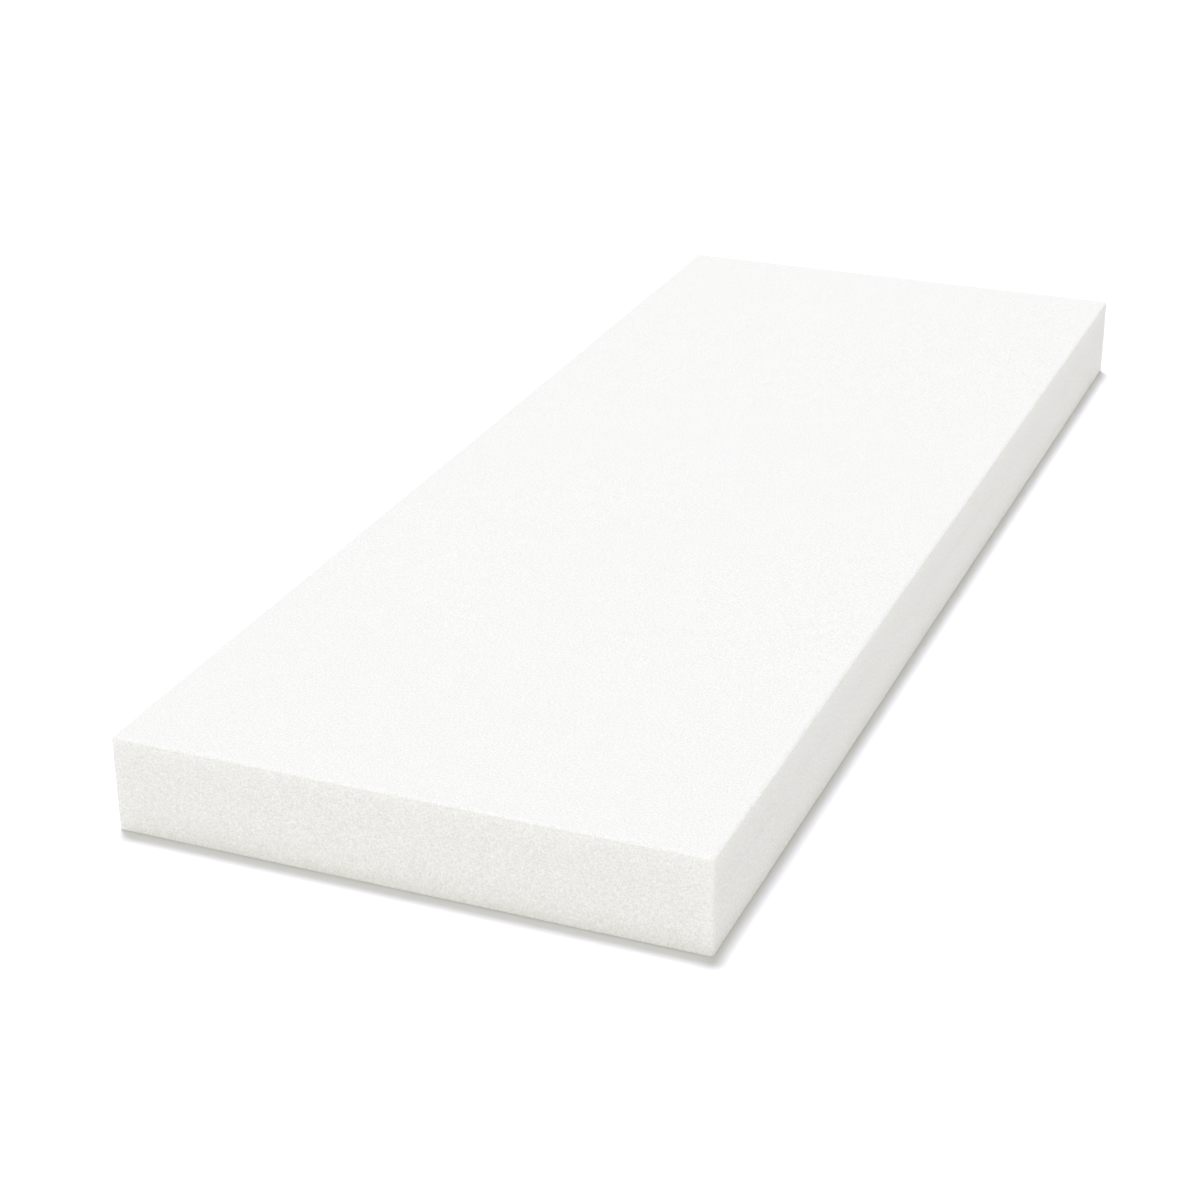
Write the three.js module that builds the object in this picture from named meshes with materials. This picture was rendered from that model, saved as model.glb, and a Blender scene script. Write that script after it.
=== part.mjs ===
// A bare memory foam mattress: a slab of memory foam bonded on top of a firmer support foam.
// Millimetres, +Z up. X runs across the mattress and Y along it. The origin is the middle of
// the underside, where the mattress rests on its base.
import * as THREE from "three";

// The whole mattress: 30 by 80 in, and 5 in thick.
const WIDTH = 762;
const LENGTH = 2032;
const THICKNESS = 127;

// The layers, from the top down. The support core takes the thickness that is left.
const COMFORT_THICKNESS = 50.8;
const BOND_THICKNESS = 0.4;

// Saw-cut foam gives a little at its edges, so no edge is quite sharp: the upright corners, the
// edge round the face slept on, and the edge round the underside, which the weight presses flat.
const CORNER_RADIUS = 5;
const TOP_EDGE_RADIUS = 4;
const BASE_EDGE_RADIUS = 1.5;
const ARC_STEPS = 6;

const BOND_TOP = THICKNESS - COMFORT_THICKNESS;
const BOND_BOTTOM = BOND_TOP - BOND_THICKNESS;
const QUARTER_TURN = Math.PI / 2;

const MEMORY_FOAM = { color: 0xf6f6f4, roughness: 0.95, metalness: 0 };
const SUPPORT_FOAM = { color: 0xf2f1ec, roughness: 0.95, metalness: 0 };
const ADHESIVE = { color: 0xefeee6, roughness: 0.5, metalness: 0 };

// The slab's outline at one height, drawn in from the full size by inset on every side.
function outline(inset, z) {
  const radius = CORNER_RADIUS - inset;
  const corners = [[1, 1], [-1, 1], [-1, -1], [1, -1]];
  return corners.flatMap(([x, y], corner) =>
    Array.from({ length: ARC_STEPS + 1 }, (_, step) => {
      const angle = (corner + step / ARC_STEPS) * QUARTER_TURN;
      return new THREE.Vector3(
        x * (WIDTH / 2 - CORNER_RADIUS) + radius * Math.cos(angle),
        y * (LENGTH / 2 - CORNER_RADIUS) + radius * Math.sin(angle),
        z,
      );
    }),
  );
}

// The outlines of one eased edge, from the flat face at z to the full size. Up is 1 where the
// slab rises from that face, and -1 where it hangs below it.
function easedEdge(z, up, radius) {
  return Array.from({ length: ARC_STEPS + 1 }, (_, step) => {
    const angle = (step / ARC_STEPS) * QUARTER_TURN;
    const inset = radius * (1 - Math.sin(angle));
    return outline(inset, z + up * radius * (1 - Math.cos(angle)));
  });
}

// A closed slab through a stack of outlines, listed from the bottom up.
function slabThrough(outlines) {
  const sides = outlines[0].length;
  const topRing = (outlines.length - 1) * sides;
  const faces = [];
  for (const [a, b, c] of THREE.ShapeUtils.triangulateShape(outlines[0], [])) {
    faces.push(c, b, a);
    faces.push(topRing + a, topRing + b, topRing + c);
  }
  for (let side = 0; side < sides; side++) {
    const next = (side + 1) % sides;
    for (let ring = 0; ring < topRing; ring += sides) {
      faces.push(ring + side, ring + next, ring + sides + next);
      faces.push(ring + side, ring + sides + next, ring + sides + side);
    }
  }
  const geometry = new THREE.BufferGeometry().setFromPoints(outlines.flat());
  geometry.setIndex(faces);
  geometry.computeVertexNormals();
  return geometry;
}

function layer(name, geometry, finish) {
  const mesh = new THREE.Mesh(geometry, new THREE.MeshStandardMaterial(finish));
  mesh.name = name;
  return mesh;
}

// The face slept on, with its top edge eased.
function comfortLayer() {
  const edge = easedEdge(THICKNESS, -1, TOP_EDGE_RADIUS).reverse();
  return layer("comfort_layer", slabThrough([outline(0, BOND_TOP), ...edge]), MEMORY_FOAM);
}

// The cured adhesive, trimmed flush with both foams.
function bondFilm() {
  const film = slabThrough([outline(0, BOND_BOTTOM), outline(0, BOND_TOP)]);
  return layer("bond_film", film, ADHESIVE);
}

// The firmer foam below, with its bottom edge eased.
function supportCore() {
  const edge = easedEdge(0, 1, BASE_EDGE_RADIUS);
  return layer("support_core", slabThrough([...edge, outline(0, BOND_BOTTOM)]), SUPPORT_FOAM);
}

const mattress = new THREE.Group();
mattress.add(comfortLayer(), bondFilm(), supportCore());

export default mattress;
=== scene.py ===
# A bare memory foam mattress on a pale studio floor: memory foam glued over a support foam.
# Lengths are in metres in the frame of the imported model: X across the mattress, Y along it,
# Z up, with the origin in the middle of the underside.
import math
from itertools import pairwise

import bmesh
import bpy
from mathutils import Euler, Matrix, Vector, noise


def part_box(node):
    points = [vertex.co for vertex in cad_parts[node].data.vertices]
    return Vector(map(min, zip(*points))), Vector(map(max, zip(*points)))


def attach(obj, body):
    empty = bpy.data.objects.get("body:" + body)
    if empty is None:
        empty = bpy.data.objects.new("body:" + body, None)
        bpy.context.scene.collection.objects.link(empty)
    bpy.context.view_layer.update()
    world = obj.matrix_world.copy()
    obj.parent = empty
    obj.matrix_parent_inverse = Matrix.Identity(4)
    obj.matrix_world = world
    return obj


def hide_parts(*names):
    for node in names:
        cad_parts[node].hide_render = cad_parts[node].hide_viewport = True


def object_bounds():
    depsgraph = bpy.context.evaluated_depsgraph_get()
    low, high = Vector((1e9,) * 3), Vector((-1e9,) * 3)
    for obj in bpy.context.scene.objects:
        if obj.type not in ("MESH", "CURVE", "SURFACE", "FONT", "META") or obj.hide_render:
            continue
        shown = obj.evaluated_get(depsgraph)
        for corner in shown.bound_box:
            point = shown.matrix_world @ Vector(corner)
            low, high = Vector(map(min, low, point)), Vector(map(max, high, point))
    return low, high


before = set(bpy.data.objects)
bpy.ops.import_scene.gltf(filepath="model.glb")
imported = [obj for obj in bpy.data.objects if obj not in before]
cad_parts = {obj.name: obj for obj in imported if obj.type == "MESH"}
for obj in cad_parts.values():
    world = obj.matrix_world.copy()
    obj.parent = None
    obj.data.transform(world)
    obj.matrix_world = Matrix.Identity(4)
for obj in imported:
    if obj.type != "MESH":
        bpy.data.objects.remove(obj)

noise.seed_set(1)  # without this the clock seeds it, and the faces differ from run to run

CAD_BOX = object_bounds()
TOP = CAD_BOX[1].z
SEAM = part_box("comfort_layer")[0][2]
MM = 0.001
TINY = 1e-9

# Shape of the cut foam.
CORNER_RADIUS = 5.5 * MM     # upright corners
TOP_EDGE_RADIUS = 4 * MM     # the edge round the face slept on
BASE_EDGE_RADIUS = 1.5 * MM  # the edge on the floor, pressed flat by the weight
ARC_STEPS = 4                # facets from the middle of a rounded edge to either face
COMFORT_PITCH = 4.6 * MM     # mesh spacing on the memory foam
CORE_PITCH = 3.2 * MM        # mesh spacing on the support foam
GLUE_SETBACK = 0.12 * MM     # how far the glue line lies in from the foam
GLUE_RAGGED = 0.1 * MM       # how much that varies
GLUE_WAVE = 9 * MM           # and over what length
# How far the faces stray from true: a wavelength, a sideways reach and an upward reach.
WANDER = (
    (620 * MM, 1.1 * MM, 0.7 * MM),
    (95 * MM, 0.35 * MM, 0.25 * MM),
    (21 * MM, 0.12 * MM, 0.08 * MM),
)
WANDER_SHIFT = 7.3           # keeps the three wavelengths from lining up at the origin
SHARP_ANGLE = math.radians(40)  # a steeper bend between two facets is shaded as an edge

# Foam. The albedo is the share of light that the foam gives back, and red, green and blue
# differ a little because raw white foam is slightly warm. The texture's sizes, from the cells
# to the saw's marks, are in millimetres.
FOAM_ALBEDO = (0.85, 0.846, 0.831)
MEMORY_CELL = 0.8            # from one cell to the next in the fine memory foam
SUPPORT_CELL = 1.1           # and in the coarser support foam
TEAR = 2.2                   # how far the saw dragged the cells out of place, in cells
VOID = 3.6                   # between the places where a larger bubble may lie
BURST = 0.6                  # the share of those places that have no bubble
GRAIN = 2.7                  # across a tuft of torn cells
MOTTLE = 30.0                # across a paler or darker patch
SAW_STREAK = (90, 90, 1.6)   # the saw's marks run level round the sides
RELIEF = 0.5 * MM            # depth of the surface texture
PALER = 1.01                 # makes up for the shade painted into the cells

# Painted light: the sides are painted paler near their edges, standing in for light that seeps
# through the foam there. The share fades with each millimetre from the edge.
EDGE_GLOW = 0.07             # at the top edge
CORNER_GLOW = 0.03           # at the upright corners
GLOW_KEPT = 0.945            # the share of either that is left a millimetre further on
BASE_GLOW = 0.10             # at the base edge
BASE_GLOW_KEPT = 0.88        # and the share of that left a millimetre higher
TOP_GLOW = 0.15              # the share of all three that shows on the top face

# The studio. A light of 1 turns a white surface that faces it white.
FLOOR_COLOUR = (0.95, 0.95, 0.985, 1)
FLOOR_REACH = 30             # metres from the mattress to each side
CEILING_LIGHT = 0.2
WALL_LIGHT = 0.808           # what the walls add to that at the height of the mattress
WALL_LEAN = (0.16, -0.45, 0)  # how much more they add along each axis, as a share of that
SURROUND_COLOUR = (1, 0.991, 0.88)
BACKDROP_COLOUR = (1, 1, 1, 1)
# Each far softbox: the direction it is seen in from the mattress, its light, its colour and its
# width in degrees.
SOFTBOXES = {
    "overhead_key": ((-0.115, 0.165, 1), 0.753, (0.899, 0.906, 1), 10),
    "front_fill": ((-0.25, -1, 0.18), 0.06, (1, 1, 1), 30),
}

# The camera stands in front of the foot end and to the right, and looks down the length.
CAMERA_PLACE = (1.1723, -3.2817, 1.5646)
CAMERA_TURN = (64.835, 0.248, 22.069)  # degrees about X, Y and Z
CAMERA_LENS = 76.83                    # millimetres


# ---------------------------------------------------------------- shape

def wander(point):
    """How far the saw left the surface from its true place at this point."""
    rise = max(0.0, (point.z - SEAM) / (TOP - SEAM))
    drift = Vector((0, 0, 0))
    for step, (wavelength, sideways, upward) in enumerate(WANDER):
        turn = noise.noise_vector(point / wavelength + Vector((step * WANDER_SHIFT, 0, 0)))
        drift += Vector((turn.x * sideways, turn.y * sideways, turn.z * upward * rise))
    return drift


def raggedness(point, reach):
    """An uneven sideways drift of the glue's edge."""
    turn = noise.noise_vector(point / GLUE_WAVE)
    return Vector((turn.x * reach, turn.y * reach, 0))


def lines_across(low, high, pitch, low_radius, high_radius):
    """Mesh lines from low to high: bunched where an end is rounded, then about a pitch apart."""
    bunch = [1 - math.tan(math.pi / 4 * (1 - k / ARC_STEPS)) for k in range(ARC_STEPS)]
    start = [low + low_radius * b for b in bunch] if low_radius else []
    end = [high - high_radius * b for b in reversed(bunch)] if high_radius else []
    span = high - high_radius - low - low_radius
    count = max(1, round(span / pitch))
    return start + [low + low_radius + span * k / count for k in range(count + 1)] + end


def rounded(point, inner_low, inner_high, low_radii, high_radii):
    """Moves a point of the square-edged slab to the slab with rounded edges."""
    inner = Vector(min(max(p, a), b) for p, a, b in zip(point, inner_low, inner_high))
    out = point - inner
    radii = [high if o > 0 else low for o, low, high in zip(out, low_radii, high_radii)]
    share = Vector(o / radius if abs(o) > TINY else 0.0 for o, radius in zip(out, radii))
    if share.length == 0:
        return point
    return inner + out * (max(map(abs, share)) / share.length)


def rim_of(first_x, last_x, first_y, last_y):
    """The grid places round a rectangle, anticlockwise from above."""
    rim = [(i, first_y) for i in range(first_x, last_x)]
    rim += [(last_x, j) for j in range(first_y, last_y)]
    rim += [(i, last_y) for i in range(last_x, first_x, -1)]
    rim += [(first_x, j) for j in range(last_y, first_y, -1)]
    return rim


def slab(name, low, high, pitch, top_radius=0.0, base_radius=0.0, mesh_top=False, ragged=0.0):
    """A closed slab with meshed sides. Its top is meshed too if asked. Any other flat face is
    left as one polygon."""
    xs = lines_across(low.x, high.x, pitch, CORNER_RADIUS, CORNER_RADIUS)
    ys = lines_across(low.y, high.y, pitch, CORNER_RADIUS, CORNER_RADIUS)
    zs = lines_across(low.z, high.z, pitch, base_radius, top_radius)
    low_radii = Vector((CORNER_RADIUS, CORNER_RADIUS, base_radius))
    high_radii = Vector((CORNER_RADIUS, CORNER_RADIUS, top_radius))
    mesh = bmesh.new()
    corners = {}

    def corner(i, j, k):
        if (i, j, k) not in corners:
            square = Vector((xs[i], ys[j], zs[k]))
            place = rounded(square, low + low_radii, high - high_radii, low_radii, high_radii)
            place += wander(place) + raggedness(place, ragged)
            corners[i, j, k] = mesh.verts.new(place)
        return corners[i, j, k]

    last_x, last_y, last_z = len(xs) - 1, len(ys) - 1, len(zs) - 1
    rim = rim_of(0, last_x, 0, last_y)
    for (i, j), (m, n) in pairwise(rim + rim[:1]):
        for k in range(last_z):
            up = k + 1
            mesh.faces.new((corner(i, j, k), corner(m, n, k), corner(m, n, up), corner(i, j, up)))
    for k, radius, meshed, turn in ((0, base_radius, False, -1), (last_z, top_radius, mesh_top, 1)):
        margin = ARC_STEPS if radius else 0
        for i in range(last_x if radius or meshed else 0):
            for j in range(last_y):
                inside = margin <= i < last_x - margin and margin <= j < last_y - margin
                if meshed or not inside:
                    around = ((i, j), (i + 1, j), (i + 1, j + 1), (i, j + 1))
                    mesh.faces.new([corner(m, n, k) for m, n in around][::turn])
        if not meshed:
            inner_rim = rim_of(margin, last_x - margin, margin, last_y - margin)
            mesh.faces.new([corner(i, j, k) for i, j in inner_rim][::turn])
    data = bpy.data.meshes.new(name)
    mesh.to_mesh(data)
    mesh.free()
    data.polygons.foreach_set("use_smooth", [True] * len(data.polygons))
    data.set_sharp_from_angle(angle=SHARP_ANGLE)
    piece = bpy.data.objects.new(name, data)
    bpy.context.collection.objects.link(piece)
    return piece


def box_of(node):
    low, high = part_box(node)
    return Vector(low), Vector(high)


# ---------------------------------------------------------------- materials

class Finish:
    """A material, with short ways to add nodes to it."""

    def __init__(self, name):
        self.material = bpy.data.materials.new(name)
        self.material.use_nodes = True
        self.tree = self.material.node_tree
        self.surface = self.tree.nodes["Principled BSDF"]

    def feed(self, socket, value):
        """Sets one input to a number or to another node's output."""
        if isinstance(value, bpy.types.NodeSocket):
            self.tree.links.new(value, socket)
        else:
            socket.default_value = value

    def set(self, node, **inputs):
        """Sets a node's inputs, named in lower case, to numbers or to other nodes' outputs."""
        for name, value in inputs.items():
            usable = (s for s in node.inputs if s.enabled)
            self.feed(next(s for s in usable if s.name.lower().replace(" ", "_") == name), value)
        return node

    def add(self, kind, **inputs):
        return self.set(self.tree.nodes.new("ShaderNode" + kind), **inputs)

    def math(self, operation, *values):
        node = self.tree.nodes.new("ShaderNodeMath")
        node.operation = operation
        for socket, value in zip(node.inputs, values):
            self.feed(socket, value)
        return node.outputs[0]

    def times(self, vector, factors):
        """A vector times three fixed factors, or all of it times one output of a node."""
        node = self.tree.nodes.new("ShaderNodeVectorMath")
        node.operation = "SCALE" if isinstance(factors, bpy.types.NodeSocket) else "MULTIPLY"
        self.feed(node.inputs[0], vector)
        self.feed(node.inputs["Scale" if node.operation == "SCALE" else 1], factors)
        return node.outputs[0]

    def plus(self, one, other):
        """The sum of two vectors."""
        node = self.tree.nodes.new("ShaderNodeVectorMath")
        self.tree.links.new(one, node.inputs[0])
        self.tree.links.new(other, node.inputs[1])
        return node.outputs[0]

    def weighed(self, *parts):
        """The sum of pairs of a value and its weight."""
        total = 0.0
        for value, weight in parts:
            total = self.math("MULTIPLY_ADD", value, weight, total)
        return total

    def ramp(self, value, start, end, low, high):
        """value mapped smoothly from start..end to low..high."""
        node = self.tree.nodes.new("ShaderNodeMapRange")
        node.interpolation_type = "SMOOTHSTEP"
        self.set(node, value=value, from_min=start, from_max=end, to_min=low, to_max=high)
        return node.outputs[0]


def painted_edge_glow(finish, place):
    """Painted light: the sides are painted paler beside an edge, standing in for the light that
    seeps through the foam there.
    """
    high = CAD_BOX[1] / MM
    parts = finish.add("SeparateXYZ", vector=place).outputs
    to_side = finish.math("SUBTRACT", high.x, finish.math("ABSOLUTE", parts[0]))
    to_end = finish.math("SUBTRACT", high.y, finish.math("ABSOLUTE", parts[1]))
    to_top = finish.math("MAXIMUM", finish.math("SUBTRACT", high.z, parts[2]), 0.0)
    # A point on one of the four sides is at that side, so it is this far from the nearest corner.
    to_corner = finish.math("MAXIMUM", to_side, to_end)
    on_side = finish.ramp(to_top, 0, TOP_EDGE_RADIUS / MM, TOP_GLOW, 1)
    corner = finish.math("POWER", GLOW_KEPT, to_corner)
    base = finish.math("POWER", BASE_GLOW_KEPT, parts[2])
    top = finish.math("POWER", GLOW_KEPT, to_top)
    glow = finish.weighed((corner, CORNER_GLOW), (base, BASE_GLOW), (top, EDGE_GLOW))
    return finish.math("MULTIPLY", glow, on_side)


def millimetres(finish):
    """The place on the mattress, in millimetres."""
    return finish.times(finish.add("TexCoord").outputs["Object"], (1 / MM,) * 3)


def foam_material(name, cell):
    """Saw-cut open-cell foam: cells, scattered bubbles, tufts, faint patches and saw marks."""
    finish = Finish(name)
    place = millimetres(finish)
    torn = finish.add("TexNoise", vector=place, scale=1 / GRAIN, detail=2.0, roughness=1.0).outputs
    uneven = finish.plus(place, finish.times(torn["Color"], (TEAR * cell,) * 3))

    cells = finish.add("TexVoronoi", vector=uneven, scale=1 / cell).outputs
    depth = finish.add("SeparateColor", color=cells["Color"]).outputs[0]
    depth = finish.math("MULTIPLY_ADD", finish.math("POWER", depth, 3.0), 0.75, 0.25)
    opening = finish.math("MULTIPLY", finish.ramp(cells["Distance"], 0.15, 0.6, 1, 0), depth)

    bubbles = finish.add("TexVoronoi", vector=uneven, scale=1 / VOID).outputs
    chance = finish.add("SeparateColor", color=bubbles["Color"]).outputs[1]
    burst = finish.math("GREATER_THAN", chance, BURST)
    bubble = finish.math("MULTIPLY", finish.ramp(bubbles["Distance"], 0.08, 0.2, 1, 0), burst)

    tuft = finish.math("SUBTRACT", torn[0], 0.5)
    mottle = finish.add("TexNoise", vector=place, scale=1 / MOTTLE, detail=2.0).outputs[0]
    mottle = finish.math("SUBTRACT", mottle, 0.5)
    along_saw = finish.times(place, tuple(1 / s for s in SAW_STREAK))
    streak = finish.add("TexNoise", vector=along_saw, scale=1.0, detail=1.0).outputs[0]

    height = finish.weighed(
        (opening, -0.5), (bubble, -0.8), (tuft, 1.2), (mottle, 0.5), (streak, 0.25)
    )
    bump = finish.add("Bump", height=height, distance=RELIEF, strength=0.8)
    finish.set(finish.surface, normal=bump.outputs[0])

    # Painted shade: the cell openings and bubbles are painted darker, standing in for the shade in
    # their hollows.
    light = finish.weighed((opening, -0.14), (bubble, -0.1), (tuft, 0.6), (mottle, 0.02))
    # Painted light: the paler edges are added into the foam's colour here.
    light = finish.math("ADD", finish.math("ADD", light, PALER), painted_edge_glow(finish, place))
    finish.set(finish.surface, base_color=finish.times(FOAM_ALBEDO, light), roughness=1.0)
    finish.set(finish.surface, specular_ior_level=0.1)
    return finish.material


def glue_material():
    """A film of dried adhesive, a little smoother than the foam and beaded along its edge."""
    finish = Finish("dried_adhesive")
    beads = finish.add("TexNoise", vector=millimetres(finish), scale=0.5, detail=2.0).outputs[0]
    light = finish.ramp(beads, 0.3, 0.7, 0.97, 1.05)
    finish.set(finish.surface, base_color=finish.times(FOAM_ALBEDO, light))
    finish.set(finish.surface, roughness=finish.ramp(beads, 0.3, 0.7, 0.55, 0.8))
    return finish.material


def floor_material():
    """Smooth white paper, with just enough tooth to be matte."""
    finish = Finish("studio_floor")
    finish.set(finish.surface, base_color=FLOOR_COLOUR, roughness=1.0, specular_ior_level=0.0)
    return finish.material


# ---------------------------------------------------------------- pieces

def stand_for(piece, node, material):
    piece.data.materials.append(material)
    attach(piece, "root")
    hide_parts(node)


def make_mattress():
    low, high = box_of("comfort_layer")
    comfort = slab(
        "memory_foam_slab", low, high, COMFORT_PITCH, top_radius=TOP_EDGE_RADIUS, mesh_top=True
    )
    stand_for(comfort, "comfort_layer", foam_material("memory_foam", MEMORY_CELL))

    low, high = box_of("support_core")
    core = slab("support_foam_slab", low, high, CORE_PITCH, base_radius=BASE_EDGE_RADIUS)
    stand_for(core, "support_core", foam_material("support_foam", SUPPORT_CELL))

    low, high = box_of("bond_film")
    setback = Vector((GLUE_SETBACK, GLUE_SETBACK, 0))
    glue = slab("glue_line", low + setback, high - setback, COMFORT_PITCH, ragged=GLUE_RAGGED)
    stand_for(glue, "bond_film", glue_material())


# ---------------------------------------------------------------- studio

def make_floor():
    data = bpy.data.meshes.new("floor")
    square = [(x * FLOOR_REACH, y * FLOOR_REACH, 0) for x, y in ((-1, -1), (1, -1), (1, 1), (-1, 1))]
    data.from_pydata(square, [], [(0, 1, 2, 3)])
    data.materials.append(floor_material())
    floor = bpy.data.objects.new("floor", data)
    bpy.context.collection.objects.link(floor)


def make_camera():
    camera = bpy.data.objects.new("camera", bpy.data.cameras.new("camera"))
    camera.location = CAMERA_PLACE
    camera.rotation_euler = Euler([math.radians(a) for a in CAMERA_TURN])
    camera.data.lens = CAMERA_LENS
    bpy.context.collection.objects.link(camera)
    bpy.context.scene.camera = camera


def make_surround():
    """White walls under a dimmer ceiling, lightest in front of the mattress and to its right.
    The camera sees a plain white backdrop in their place."""
    world = bpy.data.worlds.new("studio")
    world.use_nodes = True
    nodes, links = world.node_tree.nodes, world.node_tree.links
    direction = nodes.new("ShaderNodeTexCoord").outputs["Generated"]
    parts = nodes.new("ShaderNodeSeparateXYZ")
    links.new(direction, parts.inputs[0])
    # The walls' light falls from all of it at the floor to none overhead.
    walls = nodes.new("ShaderNodeMapRange")
    links.new(parts.outputs[2], walls.inputs["Value"])
    walls.inputs["To Min"].default_value = WALL_LIGHT
    walls.inputs["To Max"].default_value = 0
    lean = nodes.new("ShaderNodeVectorMath")
    lean.operation = "DOT_PRODUCT"
    links.new(direction, lean.inputs[0])
    lean.inputs[1].default_value = WALL_LEAN
    leaning = nodes.new("ShaderNodeMath")
    leaning.operation = "MULTIPLY_ADD"
    links.new(lean.outputs["Value"], leaning.inputs[0])
    links.new(walls.outputs[0], leaning.inputs[1])
    links.new(walls.outputs[0], leaning.inputs[2])
    total = nodes.new("ShaderNodeMath")
    links.new(leaning.outputs[0], total.inputs[0])
    total.inputs[1].default_value = CEILING_LIGHT
    studio = nodes["Background"]
    studio.inputs["Color"].default_value = (*SURROUND_COLOUR, 1)
    links.new(total.outputs[0], studio.inputs["Strength"])
    backdrop = nodes.new("ShaderNodeBackground")
    backdrop.inputs["Color"].default_value = BACKDROP_COLOUR
    seen = nodes.new("ShaderNodeMixShader")
    links.new(nodes.new("ShaderNodeLightPath").outputs["Is Camera Ray"], seen.inputs[0])
    links.new(studio.outputs[0], seen.inputs[1])
    links.new(backdrop.outputs[0], seen.inputs[2])
    links.new(seen.outputs[0], nodes["World Output"].inputs["Surface"])
    bpy.context.scene.world = world


def soft_sun(name, direction, light, colour, width):
    """A far softbox, width degrees across, seen from the mattress in the given direction."""
    data = bpy.data.lights.new(name, "SUN")
    data.energy = light * math.pi
    data.color = colour
    data.angle = math.radians(width)
    sun = bpy.data.objects.new(name, data)
    sun.rotation_euler = Vector(direction).to_track_quat("Z", "Y").to_euler()
    bpy.context.collection.objects.link(sun)


def make_lights():
    make_surround()
    for name, (direction, light, colour, width) in SOFTBOXES.items():
        soft_sun(name, direction, light, colour, width)
    bpy.context.scene.view_settings.view_transform = "Standard"


make_camera()
make_mattress()
make_floor()
make_lights()
